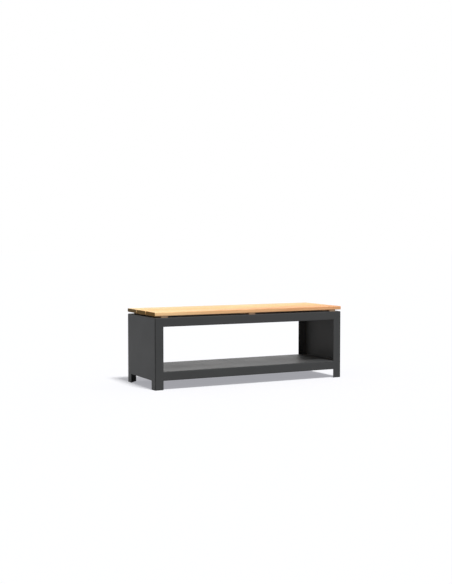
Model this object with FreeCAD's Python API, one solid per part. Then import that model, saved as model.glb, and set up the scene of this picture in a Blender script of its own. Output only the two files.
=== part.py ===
# Bench with an open store under its seat: a welded frame of folded sheet carries boards on battens.
# Origin on the floor under the middle of the bench, +X along it to the right, -Y to the front, +Z up.
import FreeCAD, Part
import math
import os

Vector = FreeCAD.Vector

# Overall size, in millimetres as everything below
bench_length = 1200.0
bench_depth = 400.0
bench_height = 425.0

# Folded sheet frame
sheet_thickness = 3.0
bend_inner_radius = 2.0
leg_width = 50.0
foot_clearance = 50.0
foot_cutout_radius = 3.0
foot_plate_thickness = 4.0
bottom_rail_height = 50.0
top_rail_height = 50.0
top_flange_width = 45.0
rail_return_width = 15.0

# Seat boards, from front to back, and the battens under them, from left to right
seat_board_names = ("front", "middle", "back")
board_thickness = 20.0
board_gap = 5.0
board_edge_radius = 2.0
seat_batten_names = ("left", "middle", "right")
batten_thickness = 10.0
batten_width = 40.0
batten_edge_radius = 1.0
batten_past_rail_end = 8.0
batten_setback = 3.0

# Sides of a screw's shank: few, because there are many screws
screw_sides = 12

# Countersunk wood screws from the battens up into the boards
wood_screw_diameter = 4.0
wood_screw_head_diameter = 8.4
wood_screw_cover = 5.0
wood_screw_edge_distance = 25.0

# Coach screws with washers from the top rails up through the battens into the outer boards
coach_screw_diameter = 6.0
coach_screw_tip_length = 5.0
coach_screw_tip_diameter = 2.0
coach_screw_cover = 6.0
coach_screw_edge_distance = 25.0
hex_sides = 6
hex_across_flats = 10.0
hex_height = 4.0
washer_diameter = 18.0
washer_thickness = 1.6

# Clearance round a coach screw in the holes that it passes through, and how far a cut runs past a face
hole_clearance = 0.25
cut_overrun = 1.0

# Levels and half sizes that several pieces share
half_length = bench_length / 2
half_depth = bench_depth / 2
bend_outer_radius = bend_inner_radius + sheet_thickness
board_bottom = bench_height - board_thickness
frame_top = board_bottom - batten_thickness
flange_bottom = frame_top - sheet_thickness
top_rail_bottom = frame_top - top_rail_height
floor_top = foot_clearance + bottom_rail_height
rail_end = half_length - leg_width
same_place = 1e-6


def rounded_face(corners, to_space):
    """Face inside a closed outline of (u, v, radius) corners, each rounded to its radius."""
    points = [to_space(u, v) for u, v, radius in corners]
    ends = []
    arcs = []
    for index, (u, v, radius) in enumerate(corners):
        point = points[index]
        back = (points[index - 1] - point).normalize()
        ahead = (points[(index + 1) % len(points)] - point).normalize()
        half_angle = back.getAngle(ahead) / 2
        reach = radius / math.tan(half_angle)
        ends.append((point + back * reach, point + ahead * reach))
        inward = (back + ahead).normalize()
        middle = point + inward * (radius / math.sin(half_angle) - radius)
        arcs.append(middle)
    edges = []
    for index, (start, end) in enumerate(ends):
        if corners[index][2]:
            edges.append(Part.Arc(start, arcs[index], end).toShape())
        next_start = ends[(index + 1) % len(ends)][0]
        edges.append(Part.LineSegment(end, next_start).toShape())
    return Part.Face(Part.Wire(edges))


def across_bench(u, v):
    """Point of a section that is cut square across the bench, u to the back and v up."""
    return Vector(0, u, v)


def extrude_along(face, start, end):
    """Solid of a section square to X, drawn out from one X to another."""
    section = face.translated(Vector(start, 0, 0))
    return section.extrude(Vector(end - start, 0, 0))


def block(low, high):
    """Box between its lowest and its highest corner."""
    size = high - low
    return Part.makeBox(size.x, size.y, size.z, low)


def lies_on(edge, plane):
    """Whether both ends of an edge lie on a plane, given as the axis it is square to and its place."""
    axis, place = plane
    return all(abs(getattr(vertex.Point, axis) - place) < same_place for vertex in edge.Vertexes)


def block_with_bends(low, high, bent_planes, radius):
    """Box that is rounded along every edge where two of the bent planes meet."""
    plain = block(low, high)
    bends = [edge for edge in plain.Edges if sum(lies_on(edge, plane) for plane in bent_planes) == 2]
    return plain.makeFillet(radius, bends)


def mirrored(shape, axis):
    """The same shape on the other side of the middle of the bench."""
    return shape.mirror(Vector(0, 0, 0), axis)


def drilled(shape, holes):
    """Shape with the holes that reach it cut out."""
    reaching = [hole for hole in holes if hole.BoundBox.intersect(shape.BoundBox)]
    return shape.cut(reaching)


def long_edges(shape, axis):
    """Edges that run the whole length of a board or batten along an axis."""
    return [edge for edge in shape.Edges if abs(edge.tangentAt(0).dot(axis)) > 1 - same_place]


def regular_polygon(sides, radius, place):
    """Closed outline with its corners on a circle about an upright line through a place."""
    corners = []
    for side in range(sides):
        angle = 2 * math.pi * side / sides
        corners.append(place + Vector(radius * math.cos(angle), radius * math.sin(angle), 0))
    return Part.makePolygon(corners + corners[:1])


def left_side_panel():
    """End wall folded with its two leg flanges and top flange, closed at the corners."""
    outer = block_with_bends(
        Vector(-half_length, -half_depth, 0),
        Vector(-rail_end, half_depth, frame_top),
        [("x", -half_length), ("y", -half_depth), ("y", half_depth), ("z", frame_top)],
        bend_outer_radius,
    )
    inner_end = -half_length + sheet_thickness
    inner_side = half_depth - sheet_thickness
    inner = block_with_bends(
        Vector(inner_end, -inner_side, -cut_overrun),
        Vector(-rail_end + cut_overrun, inner_side, flange_bottom),
        [("x", inner_end), ("y", -inner_side), ("y", inner_side), ("z", flange_bottom)],
        bend_inner_radius,
    )
    foot_gap = half_depth - leg_width
    cutout = rounded_face(
        [
            (-foot_gap, -cut_overrun, 0),
            (foot_gap, -cut_overrun, 0),
            (foot_gap, foot_clearance, foot_cutout_radius),
            (-foot_gap, foot_clearance, foot_cutout_radius),
        ],
        across_bench,
    )
    through_wall = extrude_along(cutout, -half_length - cut_overrun, inner_end + cut_overrun)
    return outer.cut(inner).cut(through_wall)


def front_top_rail():
    """Folded rail between the legs: face in front, top flange under the seat, return along the bottom."""
    face = -half_depth
    inside = face + sheet_thickness
    flange_end = face + top_flange_width
    return_end = face + rail_return_width
    return_top = top_rail_bottom + sheet_thickness
    section = rounded_face(
        [
            (return_end, top_rail_bottom, 0),
            (return_end, return_top, 0),
            (inside, return_top, bend_inner_radius),
            (inside, flange_bottom, bend_inner_radius),
            (flange_end, flange_bottom, 0),
            (flange_end, frame_top, 0),
            (face, frame_top, bend_outer_radius),
            (face, top_rail_bottom, bend_outer_radius),
        ],
        across_bench,
    )
    return extrude_along(section, -rail_end, rail_end)


def floor_tray():
    """Floor plate with both bottom rails folded down from it, and an ear behind each pair of legs."""
    inside = half_depth - sheet_thickness
    return_end = half_depth - rail_return_width
    return_top = foot_clearance + sheet_thickness
    floor_bottom = floor_top - sheet_thickness
    section = rounded_face(
        [
            (-half_depth, foot_clearance, bend_outer_radius),
            (-half_depth, floor_top, bend_outer_radius),
            (half_depth, floor_top, bend_outer_radius),
            (half_depth, foot_clearance, bend_outer_radius),
            (return_end, foot_clearance, 0),
            (return_end, return_top, 0),
            (inside, return_top, bend_inner_radius),
            (inside, floor_bottom, bend_inner_radius),
            (-inside, floor_bottom, bend_inner_radius),
            (-inside, return_top, bend_inner_radius),
            (-return_end, return_top, 0),
            (-return_end, foot_clearance, 0),
        ],
        across_bench,
    )
    tray = extrude_along(section, -rail_end, rail_end)
    ear_end = half_length - sheet_thickness
    ear = rounded_face(
        [
            (rail_end - cut_overrun, -inside, 0),
            (ear_end, -inside, bend_inner_radius),
            (ear_end, inside, bend_inner_radius),
            (rail_end - cut_overrun, inside, 0),
        ],
        lambda u, v: Vector(u, v, floor_bottom),
    )
    right_ear = ear.extrude(Vector(0, 0, sheet_thickness))
    left_ear = mirrored(right_ear, Vector(1, 0, 0))
    return tray.fuse([right_ear, left_ear]).removeSplitter()


def front_left_foot_plate():
    """Triangle welded into the foot of a leg, with its corner cut off to clear the bend."""
    corner_x = -half_length + sheet_thickness
    corner_y = -half_depth + sheet_thickness
    reach = leg_width - sheet_thickness
    outline = [
        Vector(corner_x + bend_inner_radius, corner_y, 0),
        Vector(corner_x + reach, corner_y, 0),
        Vector(corner_x, corner_y + reach, 0),
        Vector(corner_x, corner_y + bend_inner_radius, 0),
    ]
    face = Part.Face(Part.makePolygon(outline + outline[:1]))
    return face.extrude(Vector(0, 0, foot_plate_thickness))


def board_middles():
    """Width of a seat board, and the Y of the middle of each."""
    count = len(seat_board_names)
    width = (bench_depth - (count - 1) * board_gap) / count
    pitch = width + board_gap
    return width, [-half_depth + width / 2 + index * pitch for index in range(count)]


def batten_middles():
    """X of the middle of each batten: one near each end of the rails and the rest spread between them."""
    reach = rail_end - batten_past_rail_end
    spaces = len(seat_batten_names) - 1
    return [-reach + index * 2 * reach / spaces for index in range(spaces + 1)]


def seat_board(middle_y, width):
    """Planed board as long as the bench, rounded along its edges and cut square at its ends."""
    low = Vector(-half_length, middle_y - width / 2, board_bottom)
    high = Vector(half_length, middle_y + width / 2, bench_height)
    plain = block(low, high)
    return plain.makeFillet(board_edge_radius, long_edges(plain, Vector(1, 0, 0)))


def seat_batten(middle_x):
    """Planed batten across the bench, a little short of the front and back of the frame."""
    reach = half_depth - batten_setback
    low = Vector(middle_x - batten_width / 2, -reach, frame_top)
    high = Vector(middle_x + batten_width / 2, reach, board_bottom)
    plain = block(low, high)
    return plain.makeFillet(batten_edge_radius, long_edges(plain, Vector(0, 1, 0)))


def screw_shank(place, stations):
    """Straight-sided solid that rises from a place through stations of (height, radius)."""
    outlines = []
    for height, radius in stations:
        outlines.append(regular_polygon(screw_sides, radius, place + Vector(0, 0, height)))
    solid = True
    straight_sides = True
    return Part.makeLoft(outlines, solid, straight_sides)


def wood_screw(place):
    """Countersunk screw, its head flush with the under side of a batten and its point in the board."""
    radius = wood_screw_diameter / 2
    head_radius = wood_screw_head_diameter / 2
    length = batten_thickness + board_thickness - wood_screw_cover
    return screw_shank(place, [(0, head_radius), (head_radius - radius, radius), (length, radius)])


def coach_screw(place):
    """Hexagon head screw that stands under its washer and reaches up into the board."""
    head_bottom = Vector(place.x, place.y, flange_bottom - washer_thickness - hex_height)
    corner_radius = hex_across_flats / 2 / math.cos(math.pi / hex_sides)
    hexagon = Part.Face(regular_polygon(hex_sides, corner_radius, head_bottom))
    head = hexagon.extrude(Vector(0, 0, hex_height))
    radius = coach_screw_diameter / 2
    length = bench_height - coach_screw_cover - head_bottom.z
    tip = coach_screw_tip_diameter / 2
    shank = screw_shank(head_bottom, [(0, radius), (length - coach_screw_tip_length, radius), (length, tip)])
    return head.fuse(shank).removeSplitter()


def washer(place):
    """Flat washer between the head of a coach screw and the under side of the flange."""
    at_flange = Vector(place.x, place.y, flange_bottom - washer_thickness)
    disc = Part.makeCylinder(washer_diameter / 2, washer_thickness, at_flange)
    bore = Part.makeCylinder(coach_screw_diameter / 2 + hole_clearance, washer_thickness, at_flange)
    return disc.cut(bore)


def clearance_hole(place):
    """Hole for a coach screw through the flange of the rail and the batten on it."""
    bottom = Vector(place.x, place.y, flange_bottom - cut_overrun)
    return Part.makeCylinder(coach_screw_diameter / 2 + hole_clearance, board_bottom - bottom.z, bottom)


def wood_screw_places(batten_x):
    """Screws near both edges of every board on one batten, but for the edges that coach screws hold."""
    width, middles = board_middles()
    reach = width / 2 - wood_screw_edge_distance
    rows = [middle + side * reach for middle in middles for side in (-1, 1)]
    return [Vector(batten_x, row, frame_top) for row in rows[1:-1]]


def coach_screw_places(batten_x):
    """One coach screw at each end of a batten, over the flange of a top rail."""
    reach = half_depth - coach_screw_edge_distance
    return [Vector(batten_x, side * reach, frame_top) for side in (-1, 1)]


def build():
    """All pieces of the bench by name."""
    to_side = Vector(1, 0, 0)
    to_back = Vector(0, 1, 0)
    pieces = {}
    holes = []
    for name, middle_x in zip(seat_batten_names, batten_middles()):
        wood_screws = [wood_screw(place) for place in wood_screw_places(middle_x)]
        coach_screws = [coach_screw(place) for place in coach_screw_places(middle_x)]
        washers = [washer(place) for place in coach_screw_places(middle_x)]
        holes += wood_screws + coach_screws
        holes += [clearance_hole(place) for place in coach_screw_places(middle_x)]
        pieces[name + "_board_screws"] = Part.makeCompound(wood_screws)
        pieces[name + "_coach_screws"] = Part.makeCompound(coach_screws)
        pieces[name + "_washers"] = Part.makeCompound(washers)

    panel = left_side_panel()
    rail = drilled(front_top_rail(), holes)
    foot = front_left_foot_plate()
    pieces["left_side_panel"] = panel
    pieces["right_side_panel"] = mirrored(panel, to_side)
    pieces["front_top_rail"] = rail
    pieces["back_top_rail"] = mirrored(rail, to_back)
    pieces["floor_tray"] = floor_tray()
    pieces["front_left_foot_plate"] = foot
    pieces["front_right_foot_plate"] = mirrored(foot, to_side)
    pieces["back_left_foot_plate"] = mirrored(foot, to_back)
    pieces["back_right_foot_plate"] = mirrored(mirrored(foot, to_side), to_back)

    for name, middle_x in zip(seat_batten_names, batten_middles()):
        pieces[name + "_seat_batten"] = drilled(seat_batten(middle_x), holes)
    width, middles = board_middles()
    for name, middle_y in zip(seat_board_names, middles):
        pieces[name + "_seat_board"] = drilled(seat_board(middle_y, width), holes)
    return pieces


os.makedirs("parts", exist_ok=True)
for piece_name, piece in build().items():
    piece.exportStep(os.path.join("parts", piece_name + ".step"))
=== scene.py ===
import math

import bmesh
import bpy
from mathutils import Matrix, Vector


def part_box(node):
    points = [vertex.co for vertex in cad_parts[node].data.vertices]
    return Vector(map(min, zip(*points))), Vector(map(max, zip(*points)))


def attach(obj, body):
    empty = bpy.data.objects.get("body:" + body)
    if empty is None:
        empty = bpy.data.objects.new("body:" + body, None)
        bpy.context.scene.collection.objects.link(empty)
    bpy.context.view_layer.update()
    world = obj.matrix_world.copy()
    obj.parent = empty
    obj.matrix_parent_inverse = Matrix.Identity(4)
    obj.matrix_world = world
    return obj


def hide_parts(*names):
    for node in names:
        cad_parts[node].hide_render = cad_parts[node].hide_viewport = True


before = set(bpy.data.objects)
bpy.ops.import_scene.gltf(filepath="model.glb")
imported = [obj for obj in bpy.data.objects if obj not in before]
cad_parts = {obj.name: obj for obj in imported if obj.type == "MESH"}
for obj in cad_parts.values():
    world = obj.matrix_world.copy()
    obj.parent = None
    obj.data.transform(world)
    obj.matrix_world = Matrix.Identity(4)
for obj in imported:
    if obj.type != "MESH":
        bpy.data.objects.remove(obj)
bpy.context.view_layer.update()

# Side panels: each end wall is one laser-cut steel sheet, with the gap between its feet cut out. It is
# folded into two leg flanges and a top flange, its corners are welded shut and ground flush, and the
# finished frame is powder coated in matt anthracite.
mm = 0.001
sheet_thickness = 3 * mm
bend_radius = 5 * mm
bend_steps = 6
round_profile = 0.5
cutout_corner_radius = 3 * mm
raw_edge_radius = 0.4 * mm
raw_edge_steps = 2
raw_edge_angle = math.radians(60)
smooth_angle = math.radians(40)
nearly_level = 0.01
nearly_square = 0.999
coat_slot = "powder_coated_sheet"
anthracite = (0.0525, 0.0540, 0.0550, 1)
anthracite_specular = 0.165
coat_bump_height = 0.05 * mm
peel_waves = 420
grit_waves = 1900
grit_shades = (0.88, 1.12)
grit_relief = 0.35
mark_waves = 7
mark_shades = (0.90, 1.10)
mark_roughness = (0.45, 0.60)
# Painted shade: upright folds are darkened in patches by these depths to draw a dark line on each upright
# bend, and the same patches are a little glossier.
fold_shade_waves = 60
fold_shade_depths = (0.35, 0.65)
fold_polish = 0.12


def put(tree, kind, inputs=None, **settings):
    """New node. Each input, by name or number, takes a value, an output or a list of outputs."""
    node = tree.nodes.new(kind)
    for name, value in settings.items():
        setattr(node, name, value)
    for name, value in (inputs or {}).items():
        sources = value if isinstance(value, list) else [value]
        for source in sources:
            if isinstance(source, bpy.types.NodeSocket):
                tree.links.new(source, node.inputs[name])
            else:
                node.inputs[name].default_value = source
    return node


def calculate(tree, operation, *values):
    """Number worked out by a Math node."""
    return put(tree, "ShaderNodeMath", dict(enumerate(values)), operation=operation).outputs[0]


def rescale(tree, value, low, high):
    """Number between 0 and 1 that is stretched to lie between two others."""
    sockets = {"Value": value, "To Min": low, "To Max": high}
    return put(tree, "ShaderNodeMapRange", sockets).outputs["Result"]


def scaled(tree, vector, factor):
    """Vector or colour times a number."""
    sockets = {0: vector, "Scale": factor}
    return put(tree, "ShaderNodeVectorMath", sockets, operation="SCALE").outputs["Vector"]


def noise(tree, place, waves, detail):
    """Noise with so many waves in a metre."""
    sockets = {"Vector": place, "Scale": waves, "Detail": detail}
    return put(tree, "ShaderNodeTexNoise", sockets).outputs["Fac"]


def new_group(kind, name, inputs, outputs):
    """Empty node group with its named sockets, and the nodes that its inputs and outputs hang on."""
    group = bpy.data.node_groups.new(name, kind)
    for socket_name, socket_kind in inputs:
        group.interface.new_socket(socket_name, in_out="INPUT", socket_type=socket_kind)
    for socket_name, socket_kind in outputs:
        group.interface.new_socket(socket_name, in_out="OUTPUT", socket_type=socket_kind)
    return group, group.nodes.new("NodeGroupInput").outputs, group.nodes.new("NodeGroupOutput").inputs


def new_material(name):
    """Material with an empty node tree."""
    material = bpy.data.materials.new(name)
    material.use_nodes = True
    material.node_tree.nodes.clear()
    return material


def finish_surface(tree, look, height, bump_height):
    """End of a material: its shader, with the given look and a fine relief."""
    bump = put(tree, "ShaderNodeBump", {"Height": height, "Distance": bump_height})
    surface = put(tree, "ShaderNodeBsdfPrincipled", {**look, "Normal": bump.outputs["Normal"]})
    put(tree, "ShaderNodeOutputMaterial", {"Surface": surface.outputs["BSDF"]})


def powder_coat_skin():
    """Shader group of a matt powder coat: fine orange peel, faint handling marks, and painted shade on
    upright folds.
    """
    group, given, result = new_group(
        "ShaderNodeTree",
        "powder_coat_skin",
        [("Pigment", "NodeSocketColor"), ("Upright fold", "NodeSocketFloat")],
        [("Colour", "NodeSocketColor"), ("Roughness", "NodeSocketFloat"), ("Height", "NodeSocketFloat")],
    )
    place = put(group, "ShaderNodeTexCoord").outputs["Object"]
    peel = noise(group, place, peel_waves, detail=1)
    grit = noise(group, place, grit_waves, detail=2)
    marks = noise(group, place, mark_waves, detail=5)
    fold_shade_patches = noise(group, place, fold_shade_waves, detail=4)
    # Painted shade: the upright folds are darkened, standing in for the dark line that the bend shows in
    # the light.
    fold_shade_and_polish = calculate(group, "MULTIPLY", given["Upright fold"], rescale(group, fold_shade_patches, *fold_shade_depths))
    shade = calculate(group, "SUBTRACT", rescale(group, marks, *mark_shades), fold_shade_and_polish)
    speckled = calculate(group, "MULTIPLY", shade, rescale(group, grit, *grit_shades))
    group.links.new(scaled(group, given["Pigment"], speckled), result["Colour"])
    polish = calculate(group, "MULTIPLY", fold_shade_and_polish, fold_polish)
    dull = calculate(group, "SUBTRACT", rescale(group, marks, *mark_roughness), polish)
    group.links.new(dull, result["Roughness"])
    relief = calculate(group, "ADD", calculate(group, "MULTIPLY", grit, grit_relief), peel)
    group.links.new(relief, result["Height"])
    return group


def powder_coat_material(name, pigment):
    """Powder-coated steel in one colour."""
    material = new_material(name)
    tree = material.node_tree
    fold = put(tree, "ShaderNodeAttribute", attribute_name="upright_fold").outputs["Fac"]
    sockets = {"Pigment": pigment, "Upright fold": fold}
    skin = put(tree, "ShaderNodeGroup", sockets, node_tree=powder_coat_skin()).outputs
    look = {
        "Base Color": skin["Colour"],
        "Roughness": skin["Roughness"],
        "Specular IOR Level": anthracite_specular,
    }
    finish_surface(tree, look, skin["Height"], coat_bump_height)
    return material


def rounded_outline(corners, steps):
    """Points round a closed outline of (u, v, radius) corners, with an arc in each rounded corner."""
    points = []
    for index, (u, v, radius) in enumerate(corners):
        corner = Vector((u, v))
        if radius == 0:
            points.append(corner)
            continue
        back = (Vector(corners[index - 1][:2]) - corner).normalized()
        ahead = (Vector(corners[(index + 1) % len(corners)][:2]) - corner).normalized()
        half_angle = back.angle(ahead) / 2
        centre = corner + (back + ahead).normalized() * (radius / math.sin(half_angle))
        reach = radius / math.tan(half_angle)
        first = (corner + back * reach - centre).normalized()
        last = (corner + ahead * reach - centre).normalized()
        points += [centre + first.slerp(last, step / steps) * radius for step in range(steps + 1)]
    return points


def round_edges(shape, edges, radius, steps):
    """Edges of a shape rounded in so many steps."""
    bmesh.ops.bevel(
        shape, geom=edges, offset=radius, segments=steps, profile=round_profile, affect="EDGES"
    )


def mark_upright_folds(shape):
    """Face attribute that is 1 on upright folds, which get painted shade, and 0 elsewhere."""
    fold = shape.faces.layers.float.new("upright_fold")
    for face in shape.faces:
        across, along, up = (abs(part) for part in face.normal)
        face[fold] = float(up < nearly_level and max(across, along) < nearly_square)


def finish_piece(piece, slot, *nodes):
    """Smooth shading over bends and edges, the piece's place on the frame, and the nodes that it stands for
    hidden.
    """
    piece.data.shade_smooth()
    piece.data.set_sharp_from_angle(angle=smooth_angle)
    flat_faces = piece.modifiers.new("flat faces stay flat", "WEIGHTED_NORMAL")
    flat_faces.keep_sharp = True
    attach(piece, "root")
    if nodes:
        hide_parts(*nodes)


def sheet_piece(name, shape, *nodes):
    """Powder-coated piece of a finished shape, in place of the nodes that it stands for."""
    mark_upright_folds(shape)
    mesh = bpy.data.meshes.new(name)
    shape.to_mesh(mesh)
    shape.free()
    mesh.materials.append(coat)
    piece = bpy.data.objects.new(name, mesh)
    bpy.context.scene.collection.objects.link(piece)
    finish_piece(piece, coat_slot, *nodes)


def folded_panel(node, outer_x, inner_x):
    """End wall with its flanges: the outer skin is folded first, then given its thickness inwards."""
    low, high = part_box(node)
    foot_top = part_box("floor_tray")[0].z
    foot_inside = high.y - abs(inner_x - outer_x)
    wall_outline = rounded_outline(
        [
            (low.y, low.z, 0),
            (-foot_inside, low.z, 0),
            (-foot_inside, foot_top, cutout_corner_radius),
            (foot_inside, foot_top, cutout_corner_radius),
            (foot_inside, low.z, 0),
            (high.y, low.z, 0),
            (high.y, high.z, 0),
            (low.y, high.z, 0),
        ],
        bend_steps,
    )
    shape = bmesh.new()
    wall = [shape.verts.new((outer_x, y, z)) for y, z in wall_outline]
    wall_face = shape.faces.new(wall)
    front_foot = wall[0]
    back_foot, back_top, front_top = wall[-3:]
    fold_line = [front_foot, front_top, back_top, back_foot]
    free_line = [shape.verts.new((inner_x, corner.co.y, corner.co.z)) for corner in fold_line]
    flanges = range(len(fold_line) - 1)
    for side in flanges:
        shape.faces.new((fold_line[side], free_line[side], free_line[side + 1], fold_line[side + 1]))
    bends = [shape.edges.get((fold_line[side], fold_line[side + 1])) for side in flanges]
    bends += [shape.edges.get(line_ends) for line_ends in list(zip(fold_line, free_line))[1:-1]]
    bmesh.ops.recalc_face_normals(shape, faces=shape.faces)
    if wall_face.normal.x * outer_x < 0:
        bmesh.ops.reverse_faces(shape, faces=shape.faces)
    round_edges(shape, bends, bend_radius, bend_steps)
    bmesh.ops.solidify(shape, geom=shape.faces[:], thickness=sheet_thickness)
    bmesh.ops.recalc_face_normals(shape, faces=shape.faces)
    raw_edges = [
        edge
        for edge in shape.edges
        if edge.calc_face_angle() > raw_edge_angle
        and not all(abs(corner.co.x - inner_x) < raw_edge_radius for corner in edge.verts)
    ]
    round_edges(shape, raw_edges, raw_edge_radius, raw_edge_steps)
    return shape


coat = powder_coat_material("anthracite powder coat", anthracite)
for hand, node in (("left", "left_side_panel"), ("right", "right_side_panel")):
    low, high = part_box(node)
    outer_x, inner_x = (low.x, high.x) if hand == "left" else (high.x, low.x)
    sheet_piece(hand + "_folded_panel", folded_panel(node, outer_x, inner_x), node)

# Floor tray: the floor plate and both bottom rails are one sheet, folded down along the front and back
# and turned in again at the bottom. Its two ears tuck behind the legs, where they are welded.
return_width = 15 * mm
inner_bend_radius = bend_radius - sheet_thickness
tray_low, tray_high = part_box("floor_tray")
rail_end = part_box("front_top_rail")[1].x
same_place = 0.01 * mm


def prism(outline, to_space, depth):
    """Closed solid of an outline, drawn out along a vector."""
    shape = bmesh.new()
    near_end = shape.faces.new([shape.verts.new(to_space(point)) for point in outline])
    drawn = bmesh.ops.extrude_face_region(shape, geom=[near_end], use_keep_orig=True)["geom"]
    far_corners = [item for item in drawn if isinstance(item, bmesh.types.BMVert)]
    bmesh.ops.translate(shape, vec=depth, verts=far_corners)
    bmesh.ops.recalc_face_normals(shape, faces=shape.faces)
    return shape


def long_sheet(outline):
    """Folded sheet of an upright section, as long as the bay between the legs."""
    return prism(outline, lambda point: (-rail_end, *point), Vector((2 * rail_end, 0, 0)))


def draw_out_ear(shape, side):
    """Flat part of the floor plate at one end of the tray, drawn out to lie behind the legs."""
    flat_half_width = tray_high.y - bend_radius
    ear_half_width = tray_high.y - sheet_thickness
    plate_bottom = tray_high.z - sheet_thickness
    end = next(face for face in shape.faces if face.normal.x * side > nearly_square)
    for hand in (-1, 1):
        cut = [
            corner
            for corner in end.verts
            if abs(corner.co.y - hand * flat_half_width) < same_place
            and corner.co.z > plate_bottom - same_place
        ]
        halves = bmesh.utils.face_split(end, *cut)[0], end
        end = min(halves, key=lambda face: abs(face.calc_center_median().y))
    stations = [
        (rail_end + inner_bend_radius, ear_half_width),
        (tray_high.x - inner_bend_radius, ear_half_width),
        (tray_high.x, flat_half_width),
    ]
    for x, half_width in stations:
        end = bmesh.ops.extrude_discrete_faces(shape, faces=[end])["faces"][0]
        for corner in end.verts:
            corner.co.x = side * x
            corner.co.y = math.copysign(half_width, corner.co.y)


tray_outline = rounded_outline(
    [
        (tray_low.y, tray_low.z, bend_radius),
        (tray_low.y, tray_high.z, bend_radius),
        (tray_high.y, tray_high.z, bend_radius),
        (tray_high.y, tray_low.z, bend_radius),
        (tray_high.y - return_width, tray_low.z, raw_edge_radius),
        (tray_high.y - return_width, tray_low.z + sheet_thickness, raw_edge_radius),
        (tray_high.y - sheet_thickness, tray_low.z + sheet_thickness, inner_bend_radius),
        (tray_high.y - sheet_thickness, tray_high.z - sheet_thickness, inner_bend_radius),
        (tray_low.y + sheet_thickness, tray_high.z - sheet_thickness, inner_bend_radius),
        (tray_low.y + sheet_thickness, tray_low.z + sheet_thickness, inner_bend_radius),
        (tray_low.y + return_width, tray_low.z + sheet_thickness, raw_edge_radius),
        (tray_low.y + return_width, tray_low.z, raw_edge_radius),
    ],
    bend_steps,
)
tray = long_sheet(tray_outline)
for side in (-1, 1):
    draw_out_ear(tray, side)
sheet_piece("folded_floor_tray", tray, "floor_tray")

# Top rails: two folded channels between the legs, each with a face, a flange for the seat to rest on and
# a narrow return along the bottom. Their ends are welded to the leg flanges and ground flush.
for hand, side in (("front", -1), ("back", 1)):
    low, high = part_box(hand + "_top_rail")
    face_y, flange_y = (low.y, high.y) if side < 0 else (high.y, low.y)
    inside_y = face_y - side * sheet_thickness
    return_y = face_y - side * return_width
    rail_outline = rounded_outline(
        [
            (return_y, low.z, raw_edge_radius),
            (return_y, low.z + sheet_thickness, raw_edge_radius),
            (inside_y, low.z + sheet_thickness, inner_bend_radius),
            (inside_y, high.z - sheet_thickness, inner_bend_radius),
            (flange_y, high.z - sheet_thickness, raw_edge_radius),
            (flange_y, high.z, raw_edge_radius),
            (face_y, high.z, bend_radius),
            (face_y, low.z, bend_radius),
        ],
        bend_steps,
    )
    sheet_piece(hand + "_folded_rail", long_sheet(rail_outline), hand + "_top_rail")

# Foot plates: a cut triangle is welded flat into the foot of each leg, level with the end of the leg.
# The corner that would meet the leg's bend is cut off.
for end_name, end_side in (("front", -1), ("back", 1)):
    for hand, side in (("left", -1), ("right", 1)):
        node = end_name + "_" + hand + "_foot_plate"
        low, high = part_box(node)
        outer_x, inner_x = (low.x, high.x) if side < 0 else (high.x, low.x)
        outer_y, inner_y = (low.y, high.y) if end_side < 0 else (high.y, low.y)
        foot_outline = [
            (outer_x - side * inner_bend_radius, outer_y),
            (inner_x, outer_y),
            (outer_x, inner_y),
            (outer_x, outer_y - end_side * inner_bend_radius),
        ]
        foot = prism(foot_outline, lambda point: (*point, low.z), Vector((0, 0, high.z - low.z)))
        round_edges(foot, foot.edges[:], raw_edge_radius, raw_edge_steps)
        sheet_piece(end_name + "_" + hand + "_foot", foot, node)

# Weld beads: short runs of weld hold the foot plates, the ears of the floor tray and the ends of the rails
# from inside, where they don't show. They are coated with the frame.
bead_radius = 1.8 * mm
bead_sides = 10
bead_ripple_pitch = 2.4 * mm
bead_ripple_steps = 5
bead_ripple = 0.16
bead_unevenness_waves = 160
bead_least_swell = 0.4
bead_taper_power = 0.2
bead_least_edge = 0.02
bead_end_gap = 4 * mm
ear_weld_length = 40 * mm
ear_weld_spacing = 130 * mm


def without_short_edges(tree, geometry, length):
    """Mesh whose points are merged where they lie closer than a length."""
    sockets = {"Geometry": geometry, "Distance": length}
    return put(tree, "GeometryNodeMergeByDistance", sockets).outputs["Geometry"]


def finish_tree(tree, geometry, material, result):
    """End of a geometry tree: one solid mesh in its material."""
    solid = put(tree, "GeometryNodeRealizeInstances", {"Geometry": geometry}).outputs["Geometry"]
    finished = put(tree, "GeometryNodeSetMaterial", {"Geometry": solid, "Material": material})
    tree.links.new(finished.outputs["Geometry"], result)


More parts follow.
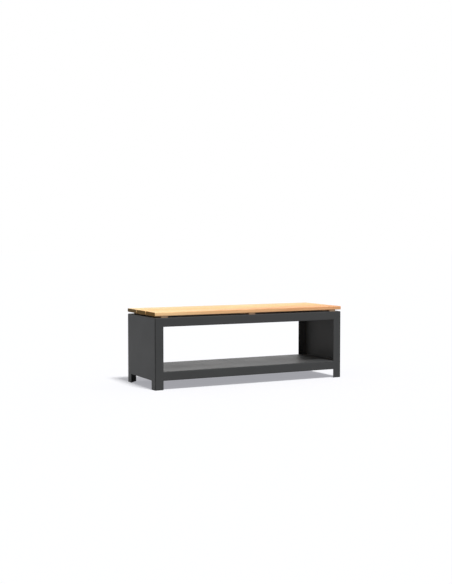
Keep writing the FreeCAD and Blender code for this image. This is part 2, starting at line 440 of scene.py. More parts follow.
def weld_bead_tree():
    """Geometry tree that lays a rippled bead along every line it is given."""
    tree, given, result = new_group(
        "GeometryNodeTree",
        "weld_bead",
        [
            ("Lines", "NodeSocketGeometry"),
            ("Bead radius", "NodeSocketFloat"),
            ("Ripple pitch", "NodeSocketFloat"),
            ("Ripple", "NodeSocketFloat"),
            ("Coat", "NodeSocketMaterial"),
        ],
        [("Beads", "NodeSocketGeometry")],
    )
    line = put(tree, "GeometryNodeMeshToCurve", {"Mesh": given["Lines"]}).outputs["Curve"]
    step = calculate(tree, "DIVIDE", given["Ripple pitch"], bead_ripple_steps)
    fine = put(tree, "GeometryNodeResampleCurve", {"Curve": line, "Length": step}, mode="LENGTH")
    along = put(tree, "GeometryNodeSplineParameter").outputs
    turns = calculate(tree, "DIVIDE", along["Length"], given["Ripple pitch"])
    wave = calculate(tree, "SINE", calculate(tree, "MULTIPLY", turns, 2 * math.pi))
    uneven = put(tree, "ShaderNodeTexNoise", {"Scale": bead_unevenness_waves}).outputs["Fac"]
    swell = calculate(tree, "ADD", calculate(tree, "MULTIPLY", wave, given["Ripple"]), uneven)
    from_end = calculate(tree, "PINGPONG", along["Factor"], 1 / 2)
    taper = calculate(tree, "POWER", calculate(tree, "MULTIPLY", from_end, 2), bead_taper_power)
    width = calculate(tree, "MULTIPLY", calculate(tree, "ADD", swell, bead_least_swell), taper)
    section = {"Resolution": bead_sides, "Radius": given["Bead radius"]}
    sockets = {
        "Curve": fine.outputs["Curve"],
        "Profile Curve": put(tree, "GeometryNodeCurvePrimitiveCircle", section).outputs["Curve"],
        "Scale": width,
        "Fill Caps": True,
    }
    bead = put(tree, "GeometryNodeCurveToMesh", sockets).outputs["Mesh"]
    shortest = calculate(tree, "MULTIPLY", given["Bead radius"], bead_least_edge)
    finish_tree(tree, without_short_edges(tree, bead, shortest), given["Coat"], result["Beads"])
    return tree


def bake_piece(name, tree, sizes, points, lines, slot, *nodes):
    """Piece that a geometry tree makes from points or lines and its sizes, turned into a plain mesh."""
    carrier = bpy.data.meshes.new(name)
    carrier.from_pydata(points, lines, [])
    piece = bpy.data.objects.new(name, carrier)
    bpy.context.scene.collection.objects.link(piece)
    maker = piece.modifiers.new(tree.name, "NODES")
    maker.node_group = tree
    for size_name, size in sizes.items():
        maker[tree.interface.items_tree[size_name].identifier] = size
    made = piece.evaluated_get(bpy.context.evaluated_depsgraph_get())
    piece.data = bpy.data.meshes.new_from_object(made)
    piece.modifiers.remove(maker)
    finish_piece(piece, slot, *nodes)


panel_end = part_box("right_side_panel")[1]
wall_inside = panel_end.x - sheet_thickness
flange_inside = panel_end.y - sheet_thickness
foot_low, foot_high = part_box("back_right_foot_plate")
rail_low, rail_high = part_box("back_top_rail")
tray_underside = tray_high.z - sheet_thickness
bead_runs = [
    (
        (wall_inside - bead_end_gap, flange_inside, foot_high.z),
        (foot_low.x + bead_end_gap, flange_inside, foot_high.z),
    ),
    (
        (wall_inside, flange_inside - bead_end_gap, foot_high.z),
        (wall_inside, foot_low.y + bead_end_gap, foot_high.z),
    ),
    (
        (rail_end, flange_inside, rail_low.z + sheet_thickness + bead_end_gap),
        (rail_end, flange_inside, rail_high.z - sheet_thickness - bead_end_gap),
    ),
    (
        (rail_end, flange_inside, tray_low.z + sheet_thickness + bead_end_gap),
        (rail_end, flange_inside, tray_underside - bead_end_gap),
    ),
    (
        (wall_inside, ear_weld_spacing - ear_weld_length / 2, tray_underside),
        (wall_inside, ear_weld_spacing + ear_weld_length / 2, tray_underside),
    ),
    (
        (wall_inside, 0, tray_underside),
        (wall_inside, ear_weld_length / 2, tray_underside),
    ),
]
bead_points = []
bead_lines = []
for side in (-1, 1):
    for end_side in (-1, 1):
        for run in bead_runs:
            bead_lines.append((len(bead_points), len(bead_points) + 1))
            bead_points += [(side * x, end_side * y, z) for x, y, z in run]
bake_piece(
    "frame_weld_beads",
    weld_bead_tree(),
    {"Bead radius": bead_radius, "Ripple pitch": bead_ripple_pitch, "Ripple": bead_ripple, "Coat": coat},
    bead_points,
    bead_lines,
    coat_slot,
)

# Seat battens: three planed hardwood laths across the bench, screwed to the flanges of the top rails, that
# keep the boards clear of the steel. They are cut from a darker run of the boards' timber, and drilled and
# countersunk from below for the screws that hold the boards.
batten_names = ("left", "middle", "right")
board_names = ("front", "middle", "back")
screw_edge_distance = 25 * mm
screw_head_diameter = 8.4 * mm
screw_shank_diameter = 4 * mm
screw_hole_clearance = 0.3 * mm
drill_sides = 32
drill_overrun_share = 0.1
least_edge = 0.005 * mm
planed_edge_steps = 4
board_stations = 4
end_station_share = 0.9
batten_edge_radius = 1 * mm
batten_end_ease = 0.4 * mm
quarter_turn = (0, 0, math.pi / 2)
batten_slot = "batten_wood"
batten_pale = (0.50, 0.33, 0.20, 1)
batten_dark = (0.30, 0.18, 0.10, 1)
batten_ring_width = 2.6 * mm
batten_pith = Vector((0.3, 0.034, 0.06))
batten_lean = Vector((0, math.radians(1.2), math.radians(90.6)))
batten_end_grain = (0.75, 0.78, 0.85, 1)
wood_specular = 0.12
wood_bump_height = 0.12 * mm
wander_waves = (1.6, 7)
wander_middle = (0.5, 0.5, 0.5)
wander_reach = (0, 0.03, 0.03)
across_the_grain = (0, 1, 1)
ring_curve_ends = ((0, 0.1), (1, 0.1))
ring_curve_rise = ((0.55, 0.30), (0.88, 1.0))
ring_depth = 0.30
ring_relief = 0.2
fibre_waves = (4, 170)
fibre_depths = (-0.30, 0.62)
fibre_roughness = (0.58, 0.74)
fibre_relief = 0.5
tone_waves = (1.3, 9)
tone_depths = (-0.35, 0.45)
thread_waves = (14, 800)
thread_depths = (-0.12, 0.16)
pore_waves = (70, 1500)
pore_start, pore_full = 0.62, 0.70
pore_darkening = 0.35
pore_roughness = 0.15
end_grain_start, end_grain_full = 0.55, 0.85
end_grain_roughness = 0.25


def calculate_vector(tree, operation, *vectors):
    """Vector worked out by a Vector Math node."""
    node = put(tree, "ShaderNodeVectorMath", dict(enumerate(vectors)), operation=operation)
    return node.outputs["Vector"]


def vector_of(tree, x=0, y=0, z=0):
    """Vector put together from three numbers."""
    return put(tree, "ShaderNodeCombineXYZ", {"X": x, "Y": y, "Z": z}).outputs["Vector"]


def axes_of(tree, vector):
    """The three numbers of a vector."""
    return put(tree, "ShaderNodeSeparateXYZ", {"Vector": vector}).outputs


def moved(tree, geometry, way):
    """Geometry that is moved along a vector."""
    sockets = {"Geometry": geometry, "Translation": way}
    return put(tree, "GeometryNodeTransform", sockets).outputs["Geometry"]


def turned(tree, sides, bottom_diameter, top_diameter, height):
    """Turned blank that stands on its place: a cylinder, a cone or, with few sides, a prism."""
    sockets = {
        "Vertices": sides,
        "Radius Bottom": calculate(tree, "DIVIDE", bottom_diameter, 2),
        "Radius Top": calculate(tree, "DIVIDE", top_diameter, 2),
        "Depth": height,
    }
    return put(tree, "GeometryNodeMeshCone", sockets).outputs["Mesh"]


def combine(tree, operation, *solids):
    """Exact union or overlap of solids, or what a difference with the others leaves of the first one."""
    sockets = {"Mesh 2": list(solids)}
    if operation == "DIFFERENCE":
        sockets = {"Mesh 1": solids[0], "Mesh 2": list(solids[1:])}
    cut = put(tree, "GeometryNodeMeshBoolean", sockets, operation=operation, solver="EXACT")
    return without_short_edges(tree, cut.outputs["Mesh"], least_edge)


def drilled(tree, given, board):
    """Board with a countersunk hole from every point of its carrier, which lie on its under side."""
    overrun = calculate(tree, "MULTIPLY", given["Thickness"], drill_overrun_share)
    depth = calculate(tree, "MULTIPLY_ADD", overrun, 2, given["Thickness"])
    drill = turned(tree, drill_sides, given["Hole diameter"], given["Hole diameter"], depth)
    mouth = calculate(tree, "MULTIPLY_ADD", overrun, 2, given["Countersink diameter"])
    sink_depth = calculate(tree, "DIVIDE", calculate(tree, "SUBTRACT", mouth, given["Hole diameter"]), 2)
    sink = turned(tree, drill_sides, mouth, given["Hole diameter"], sink_depth)
    bit = combine(tree, "UNION", drill, sink)
    lowered = moved(tree, bit, vector_of(tree, z=calculate(tree, "MULTIPLY", overrun, -1)))
    spread = put(tree, "GeometryNodeInstanceOnPoints", {"Points": given["Carrier"], "Instance": lowered})
    bits = put(tree, "GeometryNodeRealizeInstances", {"Geometry": spread.outputs["Instances"]})
    return combine(tree, "DIFFERENCE", board, bits.outputs["Geometry"])


def rounded_section(tree, width, height, radius, steps):
    """Outline of a bar with rounded corners."""
    square = put(tree, "GeometryNodeCurvePrimitiveQuadrilateral", {"Width": width, "Height": height})
    sockets = {"Curve": square.outputs["Curve"], "Radius": radius, "Count": steps}
    return put(tree, "GeometryNodeFilletCurve", sockets, mode="POLY").outputs["Curve"]


def planed_board_tree():
    """Geometry tree of one board: rounded along its edges, eased at its ends, in its place, drilled."""
    tree, given, result = new_group(
        "GeometryNodeTree",
        "planed_board",
        [
            ("Carrier", "NodeSocketGeometry"),
            ("Length", "NodeSocketFloat"),
            ("Width", "NodeSocketFloat"),
            ("Thickness", "NodeSocketFloat"),
            ("Edge radius", "NodeSocketFloat"),
            ("End ease", "NodeSocketFloat"),
            ("Middle", "NodeSocketVector"),
            ("Turn", "NodeSocketVector"),
            ("Hole diameter", "NodeSocketFloat"),
            ("Countersink diameter", "NodeSocketFloat"),
            ("Wood", "NodeSocketMaterial"),
        ],
        [("Board", "NodeSocketGeometry")],
    )
    half_length, half_width, half_thickness = (
        calculate(tree, "DIVIDE", given[size], 2) for size in ("Length", "Width", "Thickness")
    )
    far_end = vector_of(tree, half_length)
    line = put(tree, "GeometryNodeCurvePrimitiveLine", {"Start": scaled(tree, far_end, -1), "End": far_end})
    stations = {"Curve": line.outputs["Curve"], "Count": board_stations}
    radius = given["Edge radius"]
    section = rounded_section(tree, given["Width"], given["Thickness"], radius, planed_edge_steps)
    sockets = {
        "Curve": put(tree, "GeometryNodeResampleCurve", stations).outputs["Curve"],
        "Profile Curve": section,
        "Fill Caps": True,
    }
    drawn = put(tree, "GeometryNodeCurveToMesh", sockets).outputs["Mesh"]
    place = put(tree, "GeometryNodeInputPosition").outputs["Position"]
    half_size = vector_of(tree, half_length, half_width, half_thickness)
    core = calculate_vector(tree, "SUBTRACT", half_size, vector_of(tree, given["End ease"], radius, radius))
    core_corner = calculate_vector(tree, "MULTIPLY", calculate_vector(tree, "SIGN", place), core)
    from_core = calculate_vector(tree, "SUBTRACT", place, core_corner)
    shrink = calculate(tree, "SUBTRACT", 1, calculate(tree, "DIVIDE", given["End ease"], radius))
    eased = calculate_vector(tree, "ADD", core_corner, scaled(tree, from_core, shrink))
    here, there, inside = axes_of(tree, place), axes_of(tree, eased), axes_of(tree, core_corner)
    at_end = vector_of(tree, here["X"], there["Y"], there["Z"])
    near_the_end = vector_of(tree, inside["X"], here["Y"], here["Z"])
    last_stretch = calculate(tree, "MULTIPLY", half_length, end_station_share)
    is_end = calculate(tree, "GREATER_THAN", calculate(tree, "ABSOLUTE", here["X"]), last_stretch)
    sockets = {0: is_end, 4: near_the_end, 5: at_end}
    chosen = put(tree, "ShaderNodeMix", sockets, data_type="VECTOR").outputs[1]
    shaped = put(tree, "GeometryNodeSetPosition", {"Geometry": drawn, "Position": chosen})
    sockets = {
        "Geometry": shaped.outputs["Geometry"],
        "Translation": given["Middle"],
        "Rotation": given["Turn"],
    }
    placed = put(tree, "GeometryNodeTransform", sockets).outputs["Geometry"]
    finish_tree(tree, drilled(tree, given, placed), given["Wood"], result["Board"])
    return tree


def ramp(tree, value, start, full):
    """Number that goes from 0 to 1 as another one goes from a start to full."""
    sockets = {"Value": value, "From Min": start, "From Max": full}
    return put(tree, "ShaderNodeMapRange", sockets).outputs["Result"]


def mix_colours(tree, amount, first, second, mode="MIX"):
    """Colour between two others."""
    sockets = {0: amount, 6: first, 7: second}
    return put(tree, "ShaderNodeMix", sockets, data_type="RGBA", blend_type=mode).outputs[2]


def stretched_noise(group, place, along, across, detail):
    """Noise that is drawn out along the grain, from waves per metre along and across it."""
    stretched = calculate_vector(group, "MULTIPLY", place, (along, across, across))
    sockets = {"Vector": stretched, "Scale": 1, "Detail": detail}
    return put(group, "ShaderNodeTexNoise", sockets).outputs


def solid_wood():
    """Shader group of oiled hardwood: growth rings about a pith, fibres, pores, and end grain darkened
    partly as real end grain and partly as painted shade.
    """
    group, given, result = new_group(
        "ShaderNodeTree",
        "solid_wood",
        [
            ("Pith", "NodeSocketVector"),
            ("Lean", "NodeSocketVector"),
            ("Ring width", "NodeSocketFloat"),
            ("Tone", "NodeSocketFloat"),
            ("Tone drift", "NodeSocketFloat"),
            ("Pale wood", "NodeSocketColor"),
            ("Dark wood", "NodeSocketColor"),
            ("End grain and shade", "NodeSocketColor"),
        ],
        [("Colour", "NodeSocketColor"), ("Roughness", "NodeSocketFloat"), ("Height", "NodeSocketFloat")],
    )
    on_piece = put(group, "ShaderNodeTexCoord").outputs
    sockets = {"Vector": on_piece["Object"], "Location": given["Pith"], "Rotation": given["Lean"]}
    place = put(group, "ShaderNodeMapping", sockets).outputs["Vector"]
    wander = stretched_noise(group, place, *wander_waves, detail=2)["Color"]
    sway = calculate_vector(group, "SUBTRACT", wander, wander_middle)
    swayed = calculate_vector(group, "ADD", place, calculate_vector(group, "MULTIPLY", sway, wander_reach))
    cross = calculate_vector(group, "MULTIPLY", swayed, across_the_grain)
    from_pith = put(group, "ShaderNodeVectorMath", {0: cross}, operation="LENGTH").outputs["Value"]
    season = calculate(group, "FRACT", calculate(group, "DIVIDE", from_pith, given["Ring width"]))
    year = put(group, "ShaderNodeFloatCurve", {"Value": season})
    curve = year.mapping.curves[0]
    for point, location in zip(curve.points, ring_curve_ends):
        point.location = location
    for location in ring_curve_rise:
        curve.points.new(*location)
    year.mapping.update()
    rings = year.outputs["Value"]
    fibres = stretched_noise(group, place, *fibre_waves, detail=5)["Fac"]
    threads = stretched_noise(group, place, *thread_waves, detail=2)["Fac"]
    tone = stretched_noise(group, place, *tone_waves, detail=2)["Fac"]
    pore_field = stretched_noise(group, place, *pore_waves, detail=1)["Fac"]
    pores = ramp(group, pore_field, pore_start, pore_full)
    from_middle = axes_of(group, on_piece["Object"])["X"]
    drift = calculate(group, "MULTIPLY", given["Tone drift"], from_middle)
    depth = calculate(group, "MULTIPLY", rings, ring_depth)
    for part in (
        rescale(group, fibres, *fibre_depths),
        rescale(group, tone, *tone_depths),
        rescale(group, threads, *thread_depths),
        calculate(group, "ADD", given["Tone"], drift),
    ):
        depth = calculate(group, "ADD", depth, part)
    mixed = mix_colours(group, depth, given["Pale wood"], given["Dark wood"])
    pore_shade = calculate(group, "MULTIPLY", pores, pore_darkening)
    with_pores = mix_colours(group, pore_shade, mixed, given["Dark wood"], "MULTIPLY")
    sockets = {"Vector": on_piece["Normal"], "Rotation": given["Lean"]}
    facing = put(group, "ShaderNodeMapping", sockets, vector_type="VECTOR").outputs["Vector"]
    along_grain = calculate(group, "ABSOLUTE", axes_of(group, facing)["X"])
    # End faces are darkened: partly the real darker end grain, partly painted shade.
    end_grain_and_shade = ramp(group, along_grain, end_grain_start, end_grain_full)
    shaded_end_grain = mix_colours(group, 1, with_pores, given["End grain and shade"], "MULTIPLY")
    group.links.new(mix_colours(group, end_grain_and_shade, with_pores, shaded_end_grain), result["Colour"])
    pore_dullness = calculate(group, "MULTIPLY", pores, pore_roughness)
    sheen = calculate(group, "ADD", rescale(group, fibres, *fibre_roughness), pore_dullness)
    end_dullness = calculate(group, "MULTIPLY", end_grain_and_shade, end_grain_roughness)
    group.links.new(calculate(group, "ADD", sheen, end_dullness), result["Roughness"])
    relief = calculate(group, "SUBTRACT", calculate(group, "MULTIPLY", fibres, fibre_relief), pores)
    relief = calculate(group, "SUBTRACT", relief, calculate(group, "MULTIPLY", rings, ring_relief))
    group.links.new(relief, result["Height"])
    return group


def wood_material(name, cut):
    """One piece's own cut of the timber. Its tone is 0 when plain, and drifts by so much in a metre."""
    material = new_material(name)
    tree = material.node_tree
    wood = put(tree, "ShaderNodeGroup", cut, node_tree=timber).outputs
    look = {
        "Base Color": wood["Colour"],
        "Roughness": wood["Roughness"],
        "Specular IOR Level": wood_specular,
    }
    finish_surface(tree, look, wood["Height"], wood_bump_height)
    return material


timber = solid_wood()
planed_board = planed_board_tree()
board_edge_rows = []
for name in board_names:
    low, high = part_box(name + "_seat_board")
    board_edge_rows += [low.y + screw_edge_distance, high.y - screw_edge_distance]
screw_rows = board_edge_rows[1:-1]
screw_places = []
for name in batten_names:
    node = name + "_seat_batten"
    low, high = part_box(node)
    middle = (low + high) / 2
    cut = {
        "Pith": batten_pith + Vector((middle.x, 0, -middle.z)),
        "Lean": batten_lean,
        "Ring width": batten_ring_width,
        "Pale wood": batten_pale,
        "Dark wood": batten_dark,
        "End grain and shade": batten_end_grain,
    }
    sizes = {
        "Length": high.y - low.y,
        "Width": high.x - low.x,
        "Thickness": high.z - low.z,
        "Edge radius": batten_edge_radius,
        "End ease": batten_end_ease,
        "Middle": middle,
        "Turn": quarter_turn,
        "Hole diameter": screw_shank_diameter + screw_hole_clearance,
        "Countersink diameter": screw_head_diameter + screw_hole_clearance,
        "Wood": wood_material(name + " batten", cut),
    }
    holes = [(middle.x, row, low.z) for row in screw_rows]
    screw_places += holes
    bake_piece(name + "_batten", planed_board, sizes, holes, [], batten_slot, node)

# Seat boards: three planed hardwood boards as long as the bench, oiled, laid with an open joint between
# them and screwed to the battens from below, so that no fixing shows on top.
board_edge_radius = 4 * mm
board_end_ease = 0.6 * mm
no_turn = (0, 0, 0)
board_slot = "seat_wood"
board_pales = ((0.93, 0.63, 0.325, 1), (0.90, 0.62, 0.30, 1), (0.885, 0.645, 0.35, 1))
board_darks = ((0.67, 0.24, 0.10, 1), (0.657, 0.33, 0.135, 1), (0.657, 0.335, 0.15, 1))
# The board end grain is darkened to about a quarter: partly the real darker end grain, partly painted shade
# on the board ends.
board_end_grain_and_shade = ((0.245, 0.21, 0.119, 1), (0.23, 0.216, 0.16, 1), (0.215, 0.205, 0.175, 1))
board_ring_widths = (4.4 * mm, 5.2 * mm, 3.9 * mm)
board_piths = (Vector((4.8, 0.02, 0.095)), Vector((0.9, -0.035, 0.12)), Vector((1.7, 0.045, -0.085)))
board_leans = ((0, 1.3, 0.9), (0, -1.0, 0.6), (0, 1.6, -0.7))
board_tones = (0.05, 0.0, -0.18)
board_tone_drifts = (0.35, 0.15, 0.10)
for number, name in enumerate(board_names):
    node = name + "_seat_board"
    low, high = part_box(node)
    middle = (low + high) / 2
    cut = {
        "Pith": board_piths[number] - middle,
        "Lean": tuple(math.radians(angle) for angle in board_leans[number]),
        "Ring width": board_ring_widths[number],
        "Tone": board_tones[number],
        "Tone drift": board_tone_drifts[number],
        "Pale wood": board_pales[number],
        "Dark wood": board_darks[number],
        "End grain and shade": board_end_grain_and_shade[number],
    }
    sizes = {
        "Length": high.x - low.x,
        "Width": high.y - low.y,
        "Thickness": high.z - low.z,
        "Edge radius": board_edge_radius,
        "End ease": board_end_ease,
        "Middle": middle,
        "Turn": no_turn,
        "Wood": wood_material(name + " board", cut),
    }
    bake_piece(name + "_board", planed_board, sizes, [], [], board_slot, node)

# Board screws: four countersunk wood screws go up through each batten into the boards, with their heads
# flush with the under side of the batten. They are stainless steel and have a cross recess.
screw_sides = 32
screw_recess_width = 4.4 * mm
screw_recess_slot = 1.1 * mm
screw_recess_depth = 1.6 * mm
screw_spin_seed = 7
full_turn = (0, 0, 2 * math.pi)
steel_slot = "fixing_steel"
steel_light = (0.66, 0.67, 0.68, 1)
steel_dull = (0.45, 0.46, 0.50, 1)
steel_cloud_waves = 260
steel_roughness = (0.22, 0.50)
tool_mark_waves = 2400
tool_mark_height = 0.02 * mm


def stainless_steel_material(name):
    """Bright stainless steel with cloudy dull patches and fine tool marks."""
    material = new_material(name)
    tree = material.node_tree
    place = put(tree, "ShaderNodeTexCoord").outputs["Object"]
    clouds = noise(tree, place, steel_cloud_waves, detail=3)
    look = {
        "Base Color": mix_colours(tree, clouds, steel_light, steel_dull),
        "Roughness": rescale(tree, clouds, *steel_roughness),
        "Metallic": 1,
    }
    finish_surface(tree, look, noise(tree, place, tool_mark_waves, detail=2), tool_mark_height)
    return material


def fixings_on_points(tree, given, result, fixing):
    """End of a geometry tree: one fixing on every point, each turned by chance, made one solid mesh."""
    sockets = {0: no_turn, 1: full_turn, "Seed": given["Spin seed"]}
    spin = put(tree, "FunctionNodeRandomValue", sockets, data_type="FLOAT_VECTOR").outputs[0]
    sockets = {"Points": given["Places"], "Instance": fixing, "Rotation": spin}
    spread = put(tree, "GeometryNodeInstanceOnPoints", sockets).outputs["Instances"]
    finish_tree(tree, spread, given["Steel"], result["Fixings"])


def board_screw_tree():
    """Geometry tree of countersunk screws with a cross recess, standing on their heads."""
    tree, given, result = new_group(
        "GeometryNodeTree",
        "board_screws",
        [
            ("Places", "NodeSocketGeometry"),
            ("Head diameter", "NodeSocketFloat"),
            ("Shank diameter", "NodeSocketFloat"),
            ("Screw length", "NodeSocketFloat"),
            ("Recess width", "NodeSocketFloat"),
            ("Recess slot", "NodeSocketFloat"),
            ("Recess depth", "NodeSocketFloat"),
            ("Spin seed", "NodeSocketInt"),
            ("Steel", "NodeSocketMaterial"),
        ],
        [("Fixings", "NodeSocketGeometry")],
    )
    diameter = given["Shank diameter"]
    overhang = calculate(tree, "SUBTRACT", given["Head diameter"], diameter)
    head_height = calculate(tree, "DIVIDE", overhang, 2)
    head = turned(tree, screw_sides, given["Head diameter"], diameter, head_height)
    shank = turned(tree, screw_sides, diameter, diameter, given["Screw length"])
    blank = combine(tree, "UNION", head, shank)
    wide, thin = given["Recess width"], given["Recess slot"]
    cut_height = calculate(tree, "MULTIPLY", given["Recess depth"], 2)
    wings = [
        put(tree, "GeometryNodeMeshCube", {"Size": vector_of(tree, x, y, cut_height)}).outputs["Mesh"]
        for x, y in ((wide, thin), (thin, wide))
    ]
    fixings_on_points(tree, given, result, combine(tree, "DIFFERENCE", blank, *wings))
    return tree


stainless = stainless_steel_material("stainless steel")
screw_low, screw_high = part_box("middle_board_screws")
bake_piece(
    "board_screws",
    board_screw_tree(),
    {
        "Head diameter": screw_head_diameter,
        "Shank diameter": screw_shank_diameter,
        "Screw length": screw_high.z - screw_low.z,
        "Recess width": screw_recess_width,
        "Recess slot": screw_recess_slot,
        "Recess depth": screw_recess_depth,
        "Spin seed": screw_spin_seed,
        "Steel": stainless,
    },
    screw_places,
    [],
    steel_slot,
    *[name + "_board_screws" for name in batten_names],
)

# Coach screws and washers: a hexagon head screw at each end of a batten pulls it and the outer board down
# on the flange of a top rail, with a flat washer under its head. Both are stainless steel.
hexagon_sides = 6
hexagon_across_flats = 10 * mm
hexagon_height = 4 * mm
hexagon_face_share = 0.94
chamfer_angle = math.radians(30)
chamfer_sides = 48
coach_screw_diameter = 6 * mm
coach_screw_sides = 20
coach_shank_lift = (0, 0, 0.5 * mm)
coach_screw_spin_seed = 3
washer_diameter = 18 * mm
washer_bore = 6.5 * mm
washer_sides = 48
washer_edge_radius = 0.3 * mm
washer_edge_steps = 2


def coach_screw_tree():
    """Geometry tree of hexagon head screws with a chamfered head, standing on their heads."""
    tree, given, result = new_group(
        "GeometryNodeTree",
        "coach_screws",
        [
            ("Places", "NodeSocketGeometry"),
            ("Across flats", "NodeSocketFloat"),
            ("Head height", "NodeSocketFloat"),
            ("Shank diameter", "NodeSocketFloat"),
            ("Screw length", "NodeSocketFloat"),
            ("Spin seed", "NodeSocketInt"),
            ("Steel", "NodeSocketMaterial"),
        ],
        [("Fixings", "NodeSocketGeometry")],
    )
    across_corners = calculate(tree, "DIVIDE", given["Across flats"], math.cos(math.pi / hexagon_sides))
    hexagon = turned(tree, hexagon_sides, across_corners, across_corners, given["Head height"])
    face = calculate(tree, "MULTIPLY", given["Across flats"], hexagon_face_share)
    growth = calculate(tree, "MULTIPLY", given["Head height"], 2 / math.tan(chamfer_angle))
    chamfer = turned(tree, chamfer_sides, face, calculate(tree, "ADD", face, growth), given["Head height"])
    head = combine(tree, "INTERSECT", hexagon, chamfer)
    diameter = given["Shank diameter"]
    shank = turned(tree, coach_screw_sides, diameter, diameter, given["Screw length"])
    lifted = moved(tree, shank, coach_shank_lift)
    fixings_on_points(tree, given, result, combine(tree, "UNION", head, lifted))
    return tree


def washer_tree():
    """Geometry tree of flat washers with rounded edges, lying on their places."""
    tree, given, result = new_group(
        "GeometryNodeTree",
        "washers",
        [
            ("Places", "NodeSocketGeometry"),
            ("Outer diameter", "NodeSocketFloat"),
            ("Bore", "NodeSocketFloat"),
            ("Washer thickness", "NodeSocketFloat"),
            ("Edge radius", "NodeSocketFloat"),
            ("Spin seed", "NodeSocketInt"),
            ("Steel", "NodeSocketMaterial"),
        ],
        [("Fixings", "NodeSocketGeometry")],
    )
    thickness = given["Washer thickness"]
    rim = calculate(tree, "DIVIDE", calculate(tree, "SUBTRACT", given["Outer diameter"], given["Bore"]), 2)
    both_diameters = calculate(tree, "ADD", given["Outer diameter"], given["Bore"])
    middle_radius = calculate(tree, "DIVIDE", both_diameters, 4)
    ring = {"Resolution": washer_sides, "Radius": middle_radius}
    sockets = {
        "Curve": put(tree, "GeometryNodeCurvePrimitiveCircle", ring).outputs["Curve"],
        "Profile Curve": rounded_section(tree, rim, thickness, given["Edge radius"], washer_edge_steps),
    }
    disc = put(tree, "GeometryNodeCurveToMesh", sockets).outputs["Mesh"]
    lying = moved(tree, disc, vector_of(tree, z=calculate(tree, "DIVIDE", thickness, 2)))
    fixings_on_points(tree, given, result, lying)
    return tree


coach_low, coach_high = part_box("middle_coach_screws")
washer_low, washer_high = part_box("middle_washers")
coach_reach = washer_high.y - washer_diameter / 2
coach_lines = []
for name in batten_names:
    low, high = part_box(name + "_seat_batten")
    coach_lines += [((low.x + high.x) / 2, side * coach_reach) for side in (-1, 1)]
bake_piece(
    "coach_screws",
    coach_screw_tree(),
    {
        "Across flats": hexagon_across_flats,
        "Head height": hexagon_height,
        "Shank diameter": coach_screw_diameter,
        "Screw length": coach_high.z - coach_low.z,
        "Spin seed": coach_screw_spin_seed,
        "Steel": stainless,
    },
    [(*line, coach_low.z) for line in coach_lines],
    [],
    steel_slot,
    *[name + "_coach_screws" for name in batten_names],
)
bake_piece(
    "coach_screw_washers",
    washer_tree(),
    {
        "Outer diameter": washer_diameter,
        "Bore": washer_bore,
        "Washer thickness": washer_high.z - washer_low.z,
        "Edge radius": washer_edge_radius,
        "Spin seed": coach_screw_spin_seed,
        "Steel": stainless,
    },
    [(*line, washer_low.z) for line in coach_lines],
    [],
    steel_slot,
    *[name + "_washers" for name in batten_names],
)

# Studio: a pale floor under an even white sky, a soft lamp high in front that throws the shadow to the
# back, and two wide fill lamps that light the bench alone. The camera stands where the photograph was
# taken from.
camera_place = Vector((-2.6925, -5.1237, 0.8083))
camera_turn = math.radians(27.143)
camera_tilt = math.radians(2.913)
focal_length_in_pixels = 990.0
picture_height_in_pixels = 584.0
film_size = 36.0
main_lamp_direction = Vector((-0.024, 0.195, -0.425))
main_lamp_strength = 2.95
main_lamp_angle = math.radians(12)
fill_lamp_angle = math.radians(60)
fill_lamps = {
    "left_fill_lamp": (Vector((1, 0.2, -0.8)), 0.20),
    "back_fill_lamp": (Vector((-0.6, -1, -0.8)), 0.75),
}
white = (1, 1, 1, 1)
sky_strength = 0.20
floor_half_size = 60.0
floor_colour = (0.62, 0.62, 0.62, 1)
floor_lift = 0.375
floor_lift_colour = (0.92, 0.926, 1.0, 1)


def seen_directly(tree):
    """1 where the camera, a reflection or glass shows something, and 0 where it only gives light."""
    ray = put(tree, "ShaderNodeLightPath").outputs
    seen = calculate(tree, "MAXIMUM", ray["Is Camera Ray"], ray["Is Glossy Ray"])
    return calculate(tree, "MAXIMUM", seen, ray["Is Transmission Ray"])


bpy.context.scene.view_settings.view_transform = "Standard"

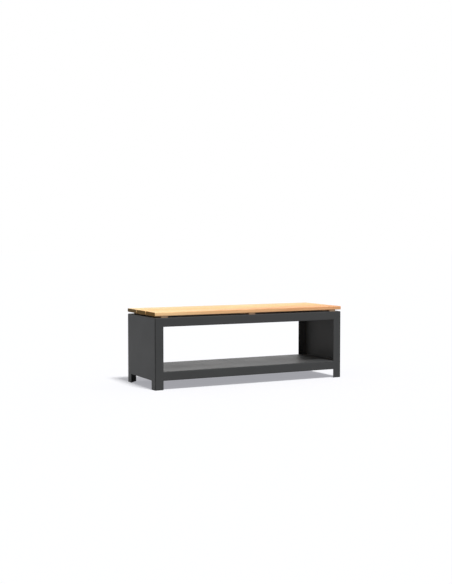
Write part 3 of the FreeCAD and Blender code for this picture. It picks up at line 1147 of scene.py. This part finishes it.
world = bpy.data.worlds.new("white sky")
bpy.context.scene.world = world
world.use_nodes = True
sky = world.node_tree
sky.nodes.clear()
brightness = rescale(sky, seen_directly(sky), sky_strength, 1)
background = put(sky, "ShaderNodeBackground", {"Color": white, "Strength": brightness})
put(sky, "ShaderNodeOutputWorld", {"Surface": background.outputs[0]})

floor_mesh = bpy.data.meshes.new("studio_floor")
floor_corners = [(x, y, 0) for x, y in ((-1, -1), (1, -1), (1, 1), (-1, 1))]
floor_mesh.from_pydata([Vector(corner) * floor_half_size for corner in floor_corners], [], [(0, 1, 2, 3)])
floor = bpy.data.objects.new("studio_floor", floor_mesh)
bpy.context.scene.collection.objects.link(floor)
floor_material = new_material("pale floor")
paint = floor_material.node_tree
matt = put(paint, "ShaderNodeBsdfDiffuse", {"Color": floor_colour})
glow = rescale(paint, seen_directly(paint), 0, floor_lift)
lift = put(paint, "ShaderNodeEmission", {"Color": floor_lift_colour, "Strength": glow})
both = put(paint, "ShaderNodeAddShader", {0: matt.outputs[0], 1: lift.outputs[0]})
put(paint, "ShaderNodeOutputMaterial", {"Surface": both.outputs[0]})
floor_mesh.materials.append(floor_material)


def new_lamp(name, direction, strength, angle):
    """Far lamp that shines one way, with a soft edge to its shadow."""
    lamp = bpy.data.objects.new(name, bpy.data.lights.new(name, "SUN"))
    lamp.data.energy = strength
    lamp.data.angle = angle
    lamp.rotation_euler = direction.to_track_quat("-Z", "Y").to_euler()
    bpy.context.scene.collection.objects.link(lamp)
    return lamp


new_lamp("main_lamp", main_lamp_direction, main_lamp_strength, main_lamp_angle)
not_filled = bpy.data.collections.new("not lit by the fill lamps")
not_filled.objects.link(floor)
not_filled.collection_objects[0].light_linking.link_state = "EXCLUDE"
for name, (direction, strength) in fill_lamps.items():
    fill_lamp = new_lamp(name, direction, strength, fill_lamp_angle)
    fill_lamp.light_linking.receiver_collection = not_filled

camera = bpy.data.objects.new("camera", bpy.data.cameras.new("camera"))
camera.data.sensor_width = film_size
camera.data.lens = focal_length_in_pixels * film_size / picture_height_in_pixels
camera.location = camera_place
camera.rotation_euler = (math.pi / 2 - camera_tilt, 0, -camera_turn)
bpy.context.scene.collection.objects.link(camera)
bpy.context.scene.camera = camera
